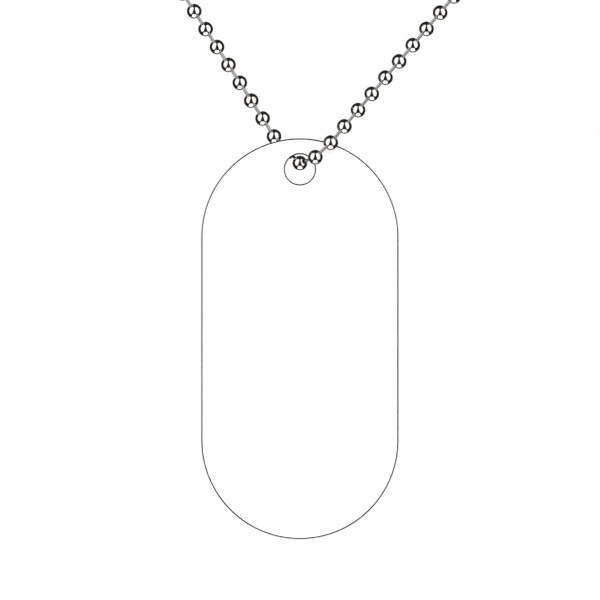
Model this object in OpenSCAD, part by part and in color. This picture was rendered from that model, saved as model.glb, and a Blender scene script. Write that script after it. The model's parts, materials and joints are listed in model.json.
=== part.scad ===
// Identification tag on a bead-chain necklace, in the form it has when it is worn.
// The tag hangs from one bead in its hole, with the right strand in front and the left one behind.
// The origin is the middle of the neck opening. +Z is up and the tag's front faces -Y.

/* [Tag] */
// Width of the tag between its straight sides
tag_w = 25.1; // [20:0.1:32]
// Height of the tag over its two round ends
tag_h = 51; // [40:0.5:70]
// Thickness of the tag's sheet
tag_t = 0.8; // [0.5:0.1:1.2]
// Radius of the rounded edge, round the outline and at the hole
tag_edge = 0.15; // [0.05:0.05:0.2]
// Diameter of the hole that the chain runs through
hole_d = 3.8; // [3.6:0.1:6]
// Depth of the hole's centre below the top of the tag
hole_drop = 3.95; // [3.6:0.05:8]

/* [Chain] */
// Length of the whole necklace, clasp included
chain_l = 609.6; // [500:12.7:762]
// Diameter of a bead
bead_d = 1.9; // [1.6:0.1:2]
// Bare wire between two neighbouring beads
bead_gap = 0.8; // [0.7:0.1:1.2]
// Thickness of a bead's sheet-metal wall
bead_wall = 0.2; // [0.15:0.05:0.3]
// Diameter of the wire
wire_d = 0.5; // [0.3:0.05:0.6]

/* [Clasp] */
// Distance between the centres of the two end beads in the clasp
clasp_span = 4.8; // [3.6:0.1:8]
// Thickness of the clasp's wall
clasp_wall = 0.3; // [0.2:0.05:0.5]
// Width of the slot that runs along the clasp
clasp_slot = 0.8; // [0.6:0.1:1.2]

/* [Clearances] */
// Gap between the wire and the holes in the beads
wire_play = 0.1; // [0.1:0.05:0.2]
// Gap between the bead that carries the tag and the top of the tag's hole
seat_play = 0.15; // [0.1:0.05:0.4]
// Gap between the strands and the tag's faces
face_play = 0.2; // [0.15:0.05:0.4]
// Gap between an end bead and the inside of the clasp
clasp_play = 0.15; // [0.1:0.05:0.3]
// Gap between the wire and the clasp's two mouths
mouth_play = 0.2; // [0.15:0.05:0.3]

/* [Drape] */
// Lean of the left strand from the vertical, in degrees
left_lean = 32.5; // [25:0.1:45]
// Lean of the right strand from the vertical, in degrees
right_lean = 40.1; // [25:0.1:45]
// Height that the strands hang straight, past the reach of the swinging tag
straight_spare = 12.9; // [5:0.1:40]
// Radius of the bend over the shoulders
shoulder_r = 60; // [40:1:90]
// Angle of the bend over the shoulders, in degrees
shoulder_turn = 60; // [30:1:75]

/* [Hidden] */
$fn = 32;

ENAMEL = "white";
NICKEL = "silver";
WIRE_SIDES = 6;
overcut = 1;

// The first links on each side of the bead in the hole. Columns: the side, 1 for the right and -1
// for the left, then the rise above the horizontal of the first and of the second link, in degrees,
// and how far the first bead lies off the tag's middle plane, as a share of its strand's distance.
SIDE = 0;
FIRST_RISE = 1;
SECOND_RISE = 2;
FIRST_OFF = 3;
RIGHT = [1, 20.9, 43.3, 1.1];
LEFT = [-1, 46, 46, 1.13];

// Chain sizes: both halves of the necklace have the same number of beads
pitch = bead_d + bead_gap;
half_beads = round((chain_l - clasp_span) / 2 / pitch);
loop_l = 2 * half_beads * pitch + clasp_span;
strand_y = tag_t / 2 + bead_d / 2 + face_play;
bead_hole_d = wire_d + 2 * wire_play;

function unit(v) = v / norm(v);
function turn_along(length, radius) = length / radius * 180 / PI;

// The route is laid out flat first, as seen from the front, from the centre of the tag's hole
function flat_run(depth) = sqrt(pitch * pitch - depth * depth);
function link_end(from, row, rise, depth) =
    from + flat_run(depth) * [row[SIDE] * cos(rise), sin(rise)];
function first_link(row) = link_end(seat, row, row[FIRST_RISE], row[FIRST_OFF] * strand_y);
function second_link(row) =
    link_end(first_link(row), row, row[SECOND_RISE], (row[FIRST_OFF] - 1) * strand_y);
seat = [0, hole_d / 2 - seat_play - bead_d / 2];
right_1 = first_link(RIGHT);
right_2 = second_link(RIGHT);
left_1 = first_link(LEFT);
left_2 = second_link(LEFT);

// From the second beads two straight strands run to one arc round the neck, which they touch.
// Both strands' lines meet in an apex, and the chain's length sets how far the neck lies above it.
right_way = [sin(right_lean), cos(right_lean)];
left_way = [-sin(left_lean), cos(left_lean)];
half_v = (right_lean + left_lean) / 2;
v_lean = (right_lean - left_lean) / 2;
right_start = cross(right_2 - left_2, left_way) / cross(right_way, left_way);
left_start = cross(right_2 - left_2, right_way) / cross(right_way, left_way);
apex = right_2 - right_start * right_way;
around_l = loop_l - 4 * pitch;
arc_share = sin(half_v) * (180 + 2 * half_v) * PI / 180;
neck_h = (around_l + right_start + left_start) / (2 * cos(half_v) + arc_share);
neck_r = neck_h * sin(half_v);
neck = apex + neck_h * [sin(v_lean), cos(v_lean)];
right_run = neck_h * cos(half_v) - right_start;
left_run = neck_h * cos(half_v) - left_start;

function neck_arc(a) = neck + neck_r * [cos(a), sin(a)];
function flat_route(s) =
    s < right_run ? right_2 + s * right_way
    : s > around_l - left_run ? left_2 + (around_l - s) * left_way
    : neck_arc(turn_along(s - right_run, neck_r) - right_lean);

// Bead 0 lies in the hole, 1 and up are on the right strand, and -1 and down are on the left one
function flat_bead(i) =
    i == 0 ? seat
    : i == 1 ? right_1
    : i == -1 ? left_1
    : i > 0 ? flat_route((i - 2) * pitch)
    : flat_route(around_l + (i + 2) * pitch);

// Each strand stays clear of the tag's swing, and is back in the middle at the nape
tag_reach = tag_h - hole_drop + tag_edge;
function ease(x) = let (t = min(max(x, 0), 1)) t * t * (3 - 2 * t);
function off_share(i) = i == 1 ? RIGHT[FIRST_OFF] : i == -1 ? LEFT[FIRST_OFF] : 1;
function strand_off(i) =
    -sign(i) * off_share(i) * strand_y
    * (1 - ease((abs(i) * pitch - tag_reach) / (loop_l / 2 - tag_reach)));

// The flat route is bent back over the shoulders, round an axis that runs from side to side
straight_h = tag_reach + straight_spare;
bend_l = shoulder_r * shoulder_turn * PI / 180;
function bend_turn(p) = min(turn_along(max(p.y - straight_h, 0), shoulder_r), shoulder_turn);
function bend_up(a) = [0, sin(a), cos(a)];
function bend_back(a) = [0, cos(a), -sin(a)];
function bent(p, off) =
    let (
        a = bend_turn(p),
        past_bend = max(p.y - straight_h - bend_l, 0)
    )
    [p.x, shoulder_r * (1 - cos(a)), min(p.y, straight_h) + shoulder_r * sin(a)]
    + past_bend * bend_up(a) + off * bend_back(a);

hole_at = -bent(neck, 0);
flat_beads = [for (i = [-half_beads : half_beads]) flat_bead(i)];
beads = [for (i = [-half_beads : half_beads]) hole_at + bent(flat_bead(i), strand_off(i))];
last = len(beads) - 1;

// Directions from bead k to the one before it and to the one after it; the clasp joins both ends
function to_before(k) = unit(beads[k == 0 ? last : k - 1] - beads[k]);
function to_after(k) = unit(beads[k == last ? 0 : k + 1] - beads[k]);
// How far off a bead's own axis the wire leaves it where the chain turns
function off_axis(k) = bead_d / 4 * norm(to_before(k) + to_after(k));

// Turns a child's +Z axis into a direction
module aim(way) {
    rotate([0, acos(way.z), atan2(way.y, way.x)])
        children();
}

// Half of a section, from its middle line out to half_w, with its two outer corners rounded
module half_section(half_w, h, r) {
    translate([0, -h / 2])
        square([half_w - r, h]);
    translate([0, r - h / 2])
        square([half_w, h - 2 * r]);
    for (side = [-1, 1])
        translate([half_w - r, side * (h / 2 - r)])
            circle(r = r);
}

// What the tag's hole removes: a straight wall between two edges rounded like the outline's
module hole_half_section() {
    wall_h = tag_t - 2 * tag_edge;
    difference() {
        translate([0, -tag_t / 2 - overcut])
            square([hole_d / 2 + tag_edge, tag_t + 2 * overcut]);
        translate([hole_d / 2, -wall_h / 2])
            square([overcut, wall_h]);
        for (side = [-1, 1])
            translate([hole_d / 2 + tag_edge, side * wall_h / 2])
                circle(r = tag_edge);
    }
}

module tag_blank() {
    side_h = tag_h - tag_w;
    for (end = [0, 180])
        rotate(end)
            translate([0, side_h / 2, 0])
                rotate_extrude(angle = 180)
                    half_section(tag_w / 2, tag_t, tag_edge);
    rotate([90, 0, 0])
        linear_extrude(side_h, center = true)
            for (side = [0, 1])
                mirror([side, 0])
                    half_section(tag_w / 2, tag_t, tag_edge);
}

module tag() {
    color(ENAMEL)
        translate(hole_at)
            rotate([90, 0, 0])
                difference() {
                    translate([0, hole_drop - tag_h / 2, 0])
                        tag_blank();
                    rotate_extrude()
                        hole_half_section();
                }
}

// A hollow bead with both of its holes on its own axis
module straight_bead() {
    rotate_extrude()
        difference() {
            circle(d = bead_d);
            circle(d = bead_d - 2 * bead_wall);
            translate([-bead_d, -bead_d])
                square([bead_d + bead_hole_d / 2, 2 * bead_d]);
        }
}

// A hollow bead at a turn of the chain, whose holes point at the beads before and after it
module turning_bead(k) {
    difference() {
        aim(to_after(k))
            rotate([90, 0, 0])
                sphere(d = bead_d);
        aim(to_after(k))
            rotate([90, 0, 0])
                sphere(d = bead_d - 2 * bead_wall);
        for (way = [to_before(k), to_after(k)])
            aim(way)
                translate([0, 0, bead_d / 4])
                    cylinder(d = bead_hole_d, h = bead_d / 2);
    }
}

module chain_beads() {
    color(NICKEL)
        for (k = [0 : last])
            translate(beads[k])
                if (off_axis(k) > wire_play / 4)
                    turning_bead(k);
                else
                    aim(unit(to_after(k) - to_before(k)))
                        straight_bead();
}

// The wire's outline in bead k, across the middle of any turn that it makes there
function wire_ring(k) =
    let (
        before = k == 0 ? -to_after(0) : to_before(k),
        after = k == last ? -to_before(last) : to_after(k),
        along = unit(after - before),
        across = unit(cross(along, bend_back(bend_turn(flat_beads[k])))),
        up = cross(across, along)
    )
    [
        for (side = [0 : WIRE_SIDES - 1])
            let (a = side * 360 / WIRE_SIDES)
            beads[k] + wire_d / 2 * (cos(a) * across + sin(a) * up)
    ];

module chain_wire() {
    points = [for (k = [0 : last]) each wire_ring(k)];
    skin = [
        for (k = [0 : last - 1])
            for (side = [0 : WIRE_SIDES - 1])
                let (
                    a = k * WIRE_SIDES + side,
                    b = k * WIRE_SIDES + (side + 1) % WIRE_SIDES
                )
                each [[a, a + WIRE_SIDES, b], [b, a + WIRE_SIDES, b + WIRE_SIDES]]
    ];
    ends = [
        [for (side = [0 : WIRE_SIDES - 1]) side],
        [for (side = [WIRE_SIDES - 1 : -1 : 0]) last * WIRE_SIDES + side]
    ];
    color(NICKEL)
        polyhedron(points, concat(skin, ends));
}

// A slotted sleeve round the two end beads, with a narrow mouth for the wire at each end
module clasp() {
    chamber_r = bead_d / 2 + clasp_play;
    chamber_l = clasp_span + bead_d + 2 * clasp_play;
    outer_r = chamber_r + clasp_wall;
    outer_l = chamber_l + 2 * clasp_wall;
    color(NICKEL)
        translate((beads[0] + beads[last]) / 2)
            aim(to_before(0))
                difference() {
                    rotate_extrude()
                        half_section(outer_r, outer_l, clasp_wall);
                    cylinder(r = chamber_r, h = chamber_l, center = true);
                    cylinder(d = wire_d + 2 * mouth_play, h = outer_l + overcut, center = true);
                    translate([0, -clasp_slot / 2, -outer_l / 2 - overcut])
                        cube([outer_r + overcut, clasp_slot, outer_l + 2 * overcut]);
                }
}

tag();
chain_beads();
chain_wire();
clasp();
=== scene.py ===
"""A blank identification tag on its bead-chain necklace: the looks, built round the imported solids.

Everything is in metres, in the solids' own frame. The tag's front faces -Y and +Z is up.
"""
import json
import math
import random

import bmesh
import bpy
import numpy as np
from mathutils import Matrix, Vector


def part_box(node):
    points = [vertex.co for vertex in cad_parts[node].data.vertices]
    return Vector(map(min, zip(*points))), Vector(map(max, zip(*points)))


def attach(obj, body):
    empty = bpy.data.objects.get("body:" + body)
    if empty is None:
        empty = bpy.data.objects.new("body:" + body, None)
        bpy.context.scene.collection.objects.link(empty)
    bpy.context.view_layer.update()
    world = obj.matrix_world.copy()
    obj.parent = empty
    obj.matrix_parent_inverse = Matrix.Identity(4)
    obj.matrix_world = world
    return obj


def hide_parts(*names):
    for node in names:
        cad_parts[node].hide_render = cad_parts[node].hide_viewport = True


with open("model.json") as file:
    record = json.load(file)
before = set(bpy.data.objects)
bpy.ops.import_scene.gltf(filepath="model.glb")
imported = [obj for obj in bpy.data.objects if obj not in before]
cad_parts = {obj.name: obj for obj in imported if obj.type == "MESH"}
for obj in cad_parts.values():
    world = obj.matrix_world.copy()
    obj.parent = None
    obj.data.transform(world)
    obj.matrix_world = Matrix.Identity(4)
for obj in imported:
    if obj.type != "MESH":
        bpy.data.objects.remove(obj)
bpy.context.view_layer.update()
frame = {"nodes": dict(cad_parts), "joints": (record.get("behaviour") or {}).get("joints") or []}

MM = 0.001

# The photograph: its size, and where the tag stands in it
PHOTO_PX = 600
TAG_TOP_PX = 138.3
TAG_BOTTOM_PX = 539.2
TAG_MIDDLE_PX = 299.9
LENS_MM = 900
SENSOR_MM = 36
CLIP_NEAR = 0.01
CLIP_FAR = 20

# The tag's edge: a bare rim round a thin coat of enamel on each face
RIM_ROUND_W = 0.06 * MM
RIM_ROUND_H = 0.15 * MM
RIM_FLAT_W = 0.115 * MM
COAT_H = 0.035 * MM
COAT_ROUND = 0.03 * MM
ROUND_STEPS = 5
END_STEPS = 90
HOLE_STEPS = 96

# The beads and the links between them
BEAD_R = 0.95 * MM
BEAD_WALL = 0.2 * MM
BEAD_HOLE_R = 0.35 * MM
BEAD_LIP = 0.04 * MM
BEAD_ROWS = 14
INNER_ROWS = 4
BEAD_COLUMNS = 24
SEAM_HALF_WIDTH = math.radians(3)
SEAM_DEPTH_SHARE = 0.02
SEAM_SPREAD = math.radians(40)
LINK_R = 0.2 * MM
LINK_WAIST_R = 0.19 * MM
HEAD_R = 0.4 * MM
HEAD_NEAR = 0.3 * MM
HEAD_FAR = 0.44 * MM
HEAD_ROUND = 0.04 * MM
LINK_SIDES = 12
SMALL_TURN = math.radians(0.05)
BEND_REACH = 0.7 * BEAD_R
BACKWARD = Vector((0, 1, -1)).normalized()

SHARP_ANGLE = math.radians(50)

random.seed(7)

tag_low, tag_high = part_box("tag")
tag_middle = (tag_low + tag_high) / 2
tag_w = tag_high.x - tag_low.x
tag_h = tag_high.z - tag_low.z
hole_at = Vector(frame["joints"][0]["pos_m"])


def node_points(node):
    """The points of a CAD node's mesh, one row each."""
    mesh = frame["nodes"][node].data
    points = np.zeros(len(mesh.vertices) * 3)
    mesh.vertices.foreach_get("co", points)
    return points.reshape(-1, 3)


def distances_from_hole_axis(points):
    """How far each point lies from the middle line of the tag's hole."""
    return np.hypot(points[:, 0] - hole_at.x, points[:, 2] - hole_at.z)


hole_r = float(distances_from_hole_axis(node_points("tag")).min())


def bead_centres():
    """The beads' centres from one end of the chain to the other.

    The thread has a ring of points in each bead.
    """
    points = np.unique(np.round(node_points("chain_wire"), 8), axis=0)
    apart = np.linalg.norm(points[:, None] - points[None, :], axis=2)
    rings = (apart < BEAD_R).argmax(axis=1)
    left = [Vector(points[rings == ring].mean(axis=0)) for ring in np.unique(rings)]
    clasp_low, clasp_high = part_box("clasp")
    clasp_middle = (clasp_low + clasp_high) / 2
    here = min(left, key=lambda c: (c - clasp_middle).length)
    ordered = []
    while left:
        here = min(left, key=lambda c: (c - here).length)
        left.remove(here)
        ordered.append(here)
    return ordered


# Camera, as the photograph was taken: straight from the front, from well away

scale = tag_h / (TAG_BOTTOM_PX - TAG_TOP_PX)
tag_middle_row = (TAG_TOP_PX + TAG_BOTTOM_PX) / 2
aim_at = Vector((
    tag_middle.x + (PHOTO_PX / 2 - TAG_MIDDLE_PX) * scale,
    tag_low.y,
    tag_middle.z + (tag_middle_row - PHOTO_PX / 2) * scale,
))
camera_data = bpy.data.cameras.new("camera")
camera_data.lens = LENS_MM
camera_data.sensor_width = SENSOR_MM
camera_data.clip_start = CLIP_NEAR
camera_data.clip_end = CLIP_FAR
camera = bpy.data.objects.new("camera", camera_data)
camera.location = aim_at - Vector((0, PHOTO_PX * scale * LENS_MM / SENSOR_MM, 0))
camera.rotation_euler = (math.radians(90), 0, 0)
bpy.context.scene.collection.objects.link(camera)
bpy.context.scene.camera = camera


# Materials


def new_material(name):
    """A material with a Principled shader, and its nodes, links and shader."""
    material = bpy.data.materials.new(name)
    material.use_nodes = True
    nodes = material.node_tree.nodes
    return material, nodes, material.node_tree.links, nodes["Principled BSDF"]


def noise(nodes, links, size, detail=3.0, stretch=(1, 1, 1)):
    """A noise whose features are about size metres across, before it is stretched along an axis."""
    place = nodes.new("ShaderNodeTexCoord")
    mapping = nodes.new("ShaderNodeMapping")
    mapping.inputs["Scale"].default_value = [1 / share for share in stretch]
    texture = nodes.new("ShaderNodeTexNoise")
    texture.inputs["Scale"].default_value = 1 / size
    texture.inputs["Detail"].default_value = detail
    links.new(place.outputs["Object"], mapping.inputs["Vector"])
    links.new(mapping.outputs["Vector"], texture.inputs["Vector"])
    return texture.outputs["Fac"]


def between(nodes, links, share, low, high, start=0.35, end=0.65):
    """A value that goes from low to high as share goes from start to end."""
    ranged = nodes.new("ShaderNodeMapRange")
    ranged.inputs["From Min"].default_value = start
    ranged.inputs["From Max"].default_value = end
    ranged.inputs["To Min"].default_value = low
    ranged.inputs["To Max"].default_value = high
    links.new(share, ranged.inputs["Value"])
    return ranged.outputs["Result"]


def blotchy(nodes, links, blotch, first, second):
    """A colour that goes from first to second where the noise blotch goes from low to high."""
    mix = nodes.new("ShaderNodeMix")
    mix.data_type = "RGBA"
    links.new(between(nodes, links, blotch, 0, 1), mix.inputs["Factor"])
    for socket, colour in (("A", first), ("B", second)):
        found = next(s for s in mix.inputs if s.name == socket and s.type == "RGBA")
        found.default_value = (*colour, 1)
    return next(s for s in mix.outputs if s.type == "RGBA")


def add_bump(nodes, links, shader, height, depth, strength):
    """Raises the surface by height, which runs from 0 to 1, times depth in metres."""
    bump = nodes.new("ShaderNodeBump")
    bump.inputs["Distance"].default_value = depth
    bump.inputs["Strength"].default_value = strength
    links.new(height, bump.inputs["Height"])
    links.new(bump.outputs["Normal"], shader.inputs["Normal"])


def enamel():
    """Smooth white enamel with a faint orange peel and thin handling marks."""
    material, nodes, links, shader = new_material("white_enamel")
    cloud = noise(nodes, links, size=9 * MM, detail=4)
    peel = noise(nodes, links, size=0.5 * MM, detail=2)
    marks = noise(nodes, links, size=0.6 * MM, detail=5, stretch=(1, 1, 14))
    white = blotchy(nodes, links, cloud, first=(0.93, 0.93, 0.925), second=(0.905, 0.905, 0.895))
    links.new(white, shader.inputs["Base Color"])
    links.new(between(nodes, links, marks, low=0.16, high=0.3), shader.inputs["Roughness"])
    shader.inputs["IOR"].default_value = 1.5
    add_bump(nodes, links, shader, peel, depth=0.01 * MM, strength=0.25)
    return material


def rim_steel():
    """Bare sheet steel with fine streaks from deburring."""
    material, nodes, links, shader = new_material("rim_steel")
    streaks = noise(nodes, links, size=0.12 * MM, detail=4, stretch=(1, 12, 12))
    stain = noise(nodes, links, size=3 * MM, detail=3)
    grey = blotchy(nodes, links, stain, first=(0.34, 0.33, 0.32), second=(0.24, 0.23, 0.22))
    shader.inputs["Metallic"].default_value = 1
    links.new(grey, shader.inputs["Base Color"])
    links.new(between(nodes, links, streaks, low=0.1, high=0.2), shader.inputs["Roughness"])
    add_bump(nodes, links, shader, streaks, depth=0.006 * MM, strength=0.3)
    return material


def nickel():
    """Bright nickel plate, dulled a little in blotches, with hairline scratches."""
    material, nodes, links, shader = new_material("bright_nickel")
    blotch = noise(nodes, links, size=1.4 * MM, detail=3)
    hairlines = noise(nodes, links, size=0.05 * MM, detail=2, stretch=(1, 1, 9))
    plate = blotchy(nodes, links, blotch, first=(0.8, 0.775, 0.75), second=(0.74, 0.71, 0.68))
    shader.inputs["Metallic"].default_value = 1
    links.new(plate, shader.inputs["Base Color"])
    links.new(between(nodes, links, blotch, low=0.05, high=0.11), shader.inputs["Roughness"])
    add_bump(nodes, links, shader, hairlines, depth=0.002 * MM, strength=0.12)
    return material


def drawn_wire():
    """Nickel on drawn wire, with fine streaks from the die. Its colour is made darker than the beads'
    plate: painted shade for links that lie in shade between the beads.
    """
    material, nodes, links, shader = new_material("drawn_nickel_painted_shade")
    blotch = noise(nodes, links, size=0.8 * MM, detail=3)
    streaks = noise(nodes, links, size=0.04 * MM, detail=3, stretch=(1, 1, 7))
    # Darker than the beads' nickel: painted shade between the beads, not a different plate
    plate = blotchy(nodes, links, blotch, first=(0.6, 0.58, 0.56), second=(0.48, 0.46, 0.44))
    shader.inputs["Metallic"].default_value = 1
    links.new(plate, shader.inputs["Base Color"])
    links.new(between(nodes, links, streaks, low=0.03, high=0.07), shader.inputs["Roughness"])
    add_bump(nodes, links, shader, streaks, depth=0.002 * MM, strength=0.12)
    return material


white_enamel = enamel()
bare_steel = rim_steel()
bright_nickel = nickel()
drawn_nickel_painted_shade = drawn_wire()


def add_piece(name, points, faces, material, body, stands_for):
    """A smooth piece of the object, made of one material."""
    mesh = bpy.data.meshes.new(name)
    mesh.from_pydata(points, [], faces)
    mesh.materials.append(material)
    mesh.polygons.foreach_set("use_smooth", [True] * len(faces))
    mesh.update()
    piece = bpy.data.objects.new(name, mesh)
    bpy.context.scene.collection.objects.link(piece)
    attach(piece, body)
    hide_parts(stands_for)
    return piece


# Tag

ENAMEL, STEEL = 0, 1


def quarter_round(far, near, steps, wide, high):
    """Inset and depth along a quarter ellipse.

    It starts after the flat at (far, near) and goes out to (far - wide, near + high).
    """
    turns = [math.pi / 2 * step / steps for step in range(1, steps + 1)]
    return [(far - wide * math.sin(a), near + high * (1 - math.cos(a))) for a in turns]


def edge_profile():
    """The edge's section from the front face out to the rim: (inset, depth below the face, material)."""
    rim_in = RIM_ROUND_W + RIM_FLAT_W
    coat_in = rim_in + COAT_ROUND
    coat = [(coat_in + COAT_ROUND, 0), (coat_in, 0)]
    coat += quarter_round(coat_in, 0, ROUND_STEPS, COAT_ROUND, COAT_H)
    rim = [(RIM_ROUND_W, COAT_H)]
    rim += quarter_round(RIM_ROUND_W, COAT_H, ROUND_STEPS, RIM_ROUND_W, RIM_ROUND_H)
    return [(*place, ENAMEL) for place in coat] + [(*place, STEEL) for place in rim]


def outline_loop(inset):
    """Points round the tag's outline, moved in by inset."""
    r = tag_w / 2 - inset
    loop = []
    for side, first in ((1, 0), (-1, math.pi)):
        for step in range(END_STEPS + 1):
            a = first + math.pi * step / END_STEPS
            rise = side * (tag_h - tag_w) / 2
            loop.append((tag_middle.x + r * math.cos(a), tag_middle.z + rise + r * math.sin(a)))
    return loop


def hole_loop(inset):
    """Points round the hole, moved out into the tag by inset."""
    turns = [2 * math.pi * step / HOLE_STEPS for step in range(HOLE_STEPS)]
    return [
        (hole_at.x + (hole_r + inset) * math.cos(a), hole_at.z + (hole_r + inset) * math.sin(a))
        for a in turns
    ]


def tag_plate():
    """The sheet with both its coats: the edge's section, swept round the outline and round the hole."""
    section = edge_profile()
    rows = [(inset, tag_low.y + depth, kind) for inset, depth, kind in section]
    rows += [(inset, tag_high.y - depth, kind) for inset, depth, kind in reversed(section)]
    solid = bmesh.new()
    caps = {0: [], len(rows) - 1: []}
    for loop_of, flip in ((outline_loop, False), (hole_loop, True)):
        before = None
        for number, (inset, y, kind) in enumerate(rows):
            ring = [solid.verts.new((x, y, z)) for x, z in loop_of(inset)]
            count = len(ring)
            if number in caps:
                caps[number] += [
                    solid.edges.new((ring[k], ring[(k + 1) % count])) for k in range(count)
                ]
            if before:
                band = ENAMEL if kind == ENAMEL and before[1] == ENAMEL else STEEL
                for k in range(count):
                    after = (k + 1) % count
                    corners = [before[0][k], before[0][after], ring[after], ring[k]]
                    face = solid.faces.new(reversed(corners) if flip else corners)
                    face.material_index = band
            before = (ring, kind)
    for edges in caps.values():
        bmesh.ops.triangle_fill(solid, use_beauty=True, edges=edges)
    bmesh.ops.recalc_face_normals(solid, faces=solid.faces)
    mesh = bpy.data.meshes.new("tag_plate")
    solid.to_mesh(mesh)
    solid.free()
    mesh.materials.append(white_enamel)
    mesh.materials.append(bare_steel)
    mesh.polygons.foreach_set("use_smooth", [True] * len(mesh.polygons))
    mesh.set_sharp_from_angle(angle=SHARP_ANGLE)
    piece = bpy.data.objects.new("tag_plate", mesh)
    bpy.context.scene.collection.objects.link(piece)
    even = piece.modifiers.new("flat_faces", "WEIGHTED_NORMAL")
    even.keep_sharp = True
    # Metal doesn't mirror the tag, so that the beads in front of it keep their dark rims
    piece.visible_glossy = False
    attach(piece, "tag")
    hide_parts("tag")


tag_plate()


# Chain

beads = bead_centres()


def swept(profile, turns):
    """Points of a section of (radius, height) turned round +Z, and the faces of that closed ring."""
    points = [
        (r * math.cos(a), r * math.sin(a), h) for r, h in profile for a in turns
    ]
    rows, columns = len(profile), len(turns)
    faces = []
    for row in range(rows):
        for column in range(columns):
            beside = (column + 1) % columns
            over = (row + 1) % rows
            faces.append((
                row * columns + column,
                row * columns + beside,
                over * columns + beside,
                over * columns + column,
            ))
    return np.array(points), faces


def bead_section():
    """A hollow bead's wall from one hole to the other, and back along the inside."""
    first = math.asin((BEAD_HOLE_R + BEAD_LIP) / BEAD_R)
    steps = [first + (math.pi - 2 * first) * k / BEAD_ROWS for k in range(BEAD_ROWS + 1)]
    outer = [(BEAD_R * math.sin(a), -BEAD_R * math.cos(a)) for a in steps]
    inner_r = BEAD_R - BEAD_WALL
    back = math.asin(BEAD_HOLE_R / inner_r)
    steps = [back + (math.pi - 2 * back) * k / INNER_ROWS for k in range(INNER_ROWS + 1)]
    inner = [(inner_r * math.sin(a), inner_r * math.cos(a)) for a in steps]
    lip_h = outer[-1][1] - BEAD_LIP
    return outer + [(BEAD_HOLE_R, lip_h)] + inner + [(BEAD_HOLE_R, -lip_h)]


def bead_columns():
    """The angles of a bead's columns, with two close ones beside the seam at 0."""
    rest = 2 * math.pi - 2 * SEAM_HALF_WIDTH
    spread = [SEAM_HALF_WIDTH + rest * k / BEAD_COLUMNS for k in range(BEAD_COLUMNS + 1)]
    return [0.0] + spread


def bead_shape():
    """One straight bead along +Z, with the fine groove of its seam."""
    section = bead_section()
    turns = bead_columns()
    points, faces = swept(section, turns)
    outside = (points ** 2).sum(axis=1) > (BEAD_R - BEAD_WALL / 2) ** 2
    seam = np.arange(len(points)) % len(turns) == 0
    points[outside & seam] *= 1 - SEAM_DEPTH_SHARE
    return points, faces


def facing(along, side):
    """A turn that sends +Z along one way and +X as near as it can to another."""
    across = (side - side.dot(along) * along).normalized()
    return Matrix((across, along.cross(across), along)).transposed()


def bent_points(points, before, after):
    """A bead's points with each hole turned to its own link, for a chain that turns in the bead."""
    turn = before.angle(after)
    if turn < SMALL_TURN:
        return points
    axis = np.array(before.cross(after).normalized())
    along = np.array((before + after).normalized())
    reach = np.clip(points @ along / BEND_REACH, -1, 1)
    angle = (turn / 2 * np.sin(reach * math.pi / 2))[:, None]
    return (
        points * np.cos(angle)
        + np.cross(axis, points) * np.sin(angle)
        + axis * (points @ axis)[:, None] * (1 - np.cos(angle))
    )


def link_way(k):
    """The way from bead k to the next one."""
    return (beads[k + 1] - beads[k]).normalized()


def make_beads(name, numbers):
    """One piece of hollow beads, which holds the beads of these numbers."""
    shape, shape_faces = bead_shape()
    points, faces = [], []
    for k in numbers:
        before = link_way(k - 1) if k > 0 else link_way(k)
        after = link_way(k) if k < len(beads) - 1 else before
        along = (before + after).normalized()
        seam_way = Matrix.Rotation(random.uniform(-SEAM_SPREAD, SEAM_SPREAD), 3, along) @ BACKWARD
        placed = shape @ np.array(facing(along, seam_way)).T
        placed = bent_points(placed, before, after) + np.array(beads[k])
        base = len(points) * len(shape)
        points.append(placed)
        faces += [tuple(base + corner for corner in face) for face in shape_faces]
    add_piece(
        name, np.concatenate(points), faces, bright_nickel, "chain", "chain_beads"
    )


def link_section(length):
    """A headed link's outline as (radius, height above the first bead's centre), head to head."""
    end = [
        (0, HEAD_NEAR),
        (HEAD_R - HEAD_ROUND, HEAD_NEAR),
        (HEAD_R, HEAD_NEAR + HEAD_ROUND),
        (HEAD_R, HEAD_FAR - HEAD_ROUND),
        (HEAD_R - HEAD_ROUND, HEAD_FAR),
        (LINK_R, HEAD_FAR),
        (LINK_R, HEAD_FAR + HEAD_ROUND),
    ]
    middle = [(LINK_WAIST_R, length / 2)]
    return end + middle + [(r, length - h) for r, h in reversed(end)]


def make_links(name):
    """One piece of short headed links, from each bead into the next."""
    turns = [2 * math.pi * side / LINK_SIDES for side in range(LINK_SIDES)]
    points, faces = [], []
    base = 0
    for k in range(len(beads) - 1):
        section = link_section((beads[k + 1] - beads[k]).length)
        shape, shape_faces = swept(section[1:-1], turns)
        ring = len(section) - 3
        ends = [(0, 0, section[0][1]), (0, 0, section[-1][1])]
        placed = np.concatenate([shape, ends]) @ np.array(facing(link_way(k), BACKWARD)).T
        points.append(placed + np.array(beads[k]))
        faces += [tuple(base + corner for corner in face) for face in shape_faces[: ring * LINK_SIDES]]
        near, far = base + len(shape), base + len(shape) + 1
        last = base + ring * LINK_SIDES
        for side in range(LINK_SIDES):
            beside = (side + 1) % LINK_SIDES
            faces.append((near, base + beside, base + side))
            faces.append((far, last + side, last + beside))
        base += len(placed)
    piece = add_piece(
        name, np.concatenate(points), faces, drawn_nickel_painted_shade, "chain", "chain_wire"
    )
    piece.data.set_sharp_from_angle(angle=SHARP_ANGLE)


half = len(beads) // 2
make_beads("chain_beads_one_side", range(half))
make_beads("chain_beads_other_side", range(half, len(beads)))
make_links("chain_links")

clasp = frame["nodes"]["clasp"]
clasp.data.materials.clear()
clasp.data.materials.append(bright_nickel)


# Light: two round panels beside the camera, one below and one behind, which bright metal mirrors in a
# dark room, and two soft fills that light the enamel and that metal doesn't show.


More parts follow.
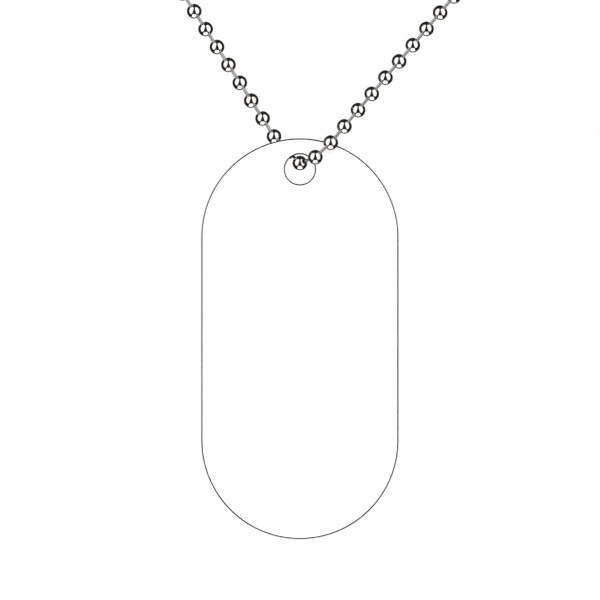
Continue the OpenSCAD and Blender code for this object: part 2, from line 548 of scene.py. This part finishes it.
def way_to(azimuth, elevation):
    """A direction from the object. Azimuth 0 is the front and 90 is the right; both in degrees."""
    a, e = math.radians(azimuth), math.radians(elevation)
    return Vector((math.sin(a) * math.cos(e), -math.cos(a) * math.cos(e), math.sin(e)))


def panel(
    name, azimuth, elevation, distance, wide, high, radiance, lean=0, round_ends=True, mirrored=True
):
    """An area light that faces the tag's hole. It leans clockwise as seen from there, in degrees.

    Bright metal shows it only if it is mirrored.
    """
    light = bpy.data.lights.new(name, "AREA")
    light.shape = "ELLIPSE" if round_ends else "RECTANGLE"
    light.size = wide
    light.size_y = high
    area = wide * high * (math.pi / 4 if round_ends else 1)
    light.energy = radiance * math.pi * area
    lamp = bpy.data.objects.new(name, light)
    way = way_to(azimuth, elevation)
    facing_hole = way.to_track_quat("Z", "Y").to_matrix()
    lamp.location = hole_at + distance * way
    lamp.rotation_euler = (facing_hole @ Matrix.Rotation(math.radians(lean), 3, "Z")).to_euler()
    lamp.visible_camera = False
    lamp.visible_glossy = mirrored
    bpy.context.scene.collection.objects.link(lamp)
    return lamp


PANEL_FAR = 1.5
PANEL_AZIMUTH = 49.5
PANEL_LEAN = 12
FILL = {"distance": 2.0, "wide": 1.6, "high": 1.6, "mirrored": False}
for side, mirror in (("left", -1), ("right", 1)):
    panel(
        f"panel_{side}", mirror * PANEL_AZIMUTH, 12, PANEL_FAR,
        wide=1.8, high=3.6, radiance=1.4, lean=mirror * PANEL_LEAN,
    )
panel("panel_below", 0, -82, 1.2, wide=1.2, high=1.5, radiance=1.5, round_ends=False)
panel("panel_back", 180, 3, PANEL_FAR, wide=0.6, high=0.7, radiance=1.2, round_ends=False)
fill_front = panel("fill_front", 0, 25, radiance=4.3, **FILL)
# Its light casts no shadow, so that the tag stays white round the beads in front of it
fill_front.data.use_shadow = False
panel("fill_back", 180, 30, radiance=4.6, **FILL)


# Background: pure white behind the photograph's view and pale grey on every other side, for the camera
# alone. The object itself stands in a dark room.

WHITE_WITHIN = math.radians(4)
GREY_FROM = math.radians(14)
BACK_GREY = 0.62
ROOM_GREY = 0.02


def make_world():
    """The room that the object is lit by, and the plain background that the camera sees behind it."""
    world = bpy.data.worlds.new("world")
    bpy.context.scene.world = world
    world.use_nodes = True
    nodes, links = world.node_tree.nodes, world.node_tree.links
    room = nodes["Background"]
    room.inputs["Color"].default_value = (ROOM_GREY, ROOM_GREY, ROOM_GREY, 1)
    way = nodes.new("ShaderNodeTexCoord")
    ahead = nodes.new("ShaderNodeVectorMath")
    ahead.operation = "DOT_PRODUCT"
    ahead.inputs[1].default_value = (0, 1, 0)
    links.new(way.outputs["Generated"], ahead.inputs[0])
    tone = between(
        nodes, links, ahead.outputs["Value"], BACK_GREY, 1, math.cos(GREY_FROM), math.cos(WHITE_WITHIN)
    )
    background = nodes.new("ShaderNodeBackground")
    background.inputs["Color"].default_value = (1, 1, 1, 1)
    links.new(tone, background.inputs["Strength"])
    seen = nodes.new("ShaderNodeLightPath")
    either = nodes.new("ShaderNodeMixShader")
    links.new(seen.outputs["Is Camera Ray"], either.inputs["Fac"])
    links.new(room.outputs["Background"], either.inputs[1])
    links.new(background.outputs["Background"], either.inputs[2])
    links.new(either.outputs["Shader"], nodes["World Output"].inputs["Surface"])


make_world()


# Floor: a pale disc below the photograph's frame that fades out towards its edge

FLOOR_BELOW = 25 * MM
FLOOR_R = 0.22
FLOOR_FADE_FROM = 0.12
FLOOR_STEPS = 96
FLOOR_COLOUR = (0.76, 0.76, 0.75, 1)
FLOOR_ROUGHNESS = 0.8


def make_floor():
    """A pale round floor that fades out towards its edge."""
    material, nodes, links, shader = new_material("floor_paint")
    shader.inputs["Base Color"].default_value = FLOOR_COLOUR
    shader.inputs["Roughness"].default_value = FLOOR_ROUGHNESS
    place = nodes.new("ShaderNodeTexCoord")
    reach = nodes.new("ShaderNodeVectorMath")
    reach.operation = "LENGTH"
    links.new(place.outputs["Object"], reach.inputs[0])
    fade = between(
        nodes, links, reach.outputs["Value"], low=1, high=0, start=FLOOR_FADE_FROM, end=FLOOR_R
    )
    links.new(fade, shader.inputs["Alpha"])
    solid = bmesh.new()
    bmesh.ops.create_circle(solid, cap_ends=True, segments=FLOOR_STEPS, radius=FLOOR_R)
    mesh = bpy.data.meshes.new("floor")
    solid.to_mesh(mesh)
    solid.free()
    mesh.materials.append(material)
    floor = bpy.data.objects.new("floor", mesh)
    floor.location = (0, 0, tag_low.z - FLOOR_BELOW)
    floor.visible_glossy = False
    floor.visible_shadow = False
    bpy.context.scene.collection.objects.link(floor)


make_floor()

bpy.context.scene.view_settings.view_transform = "Standard"
bpy.context.scene.view_settings.look = "None"
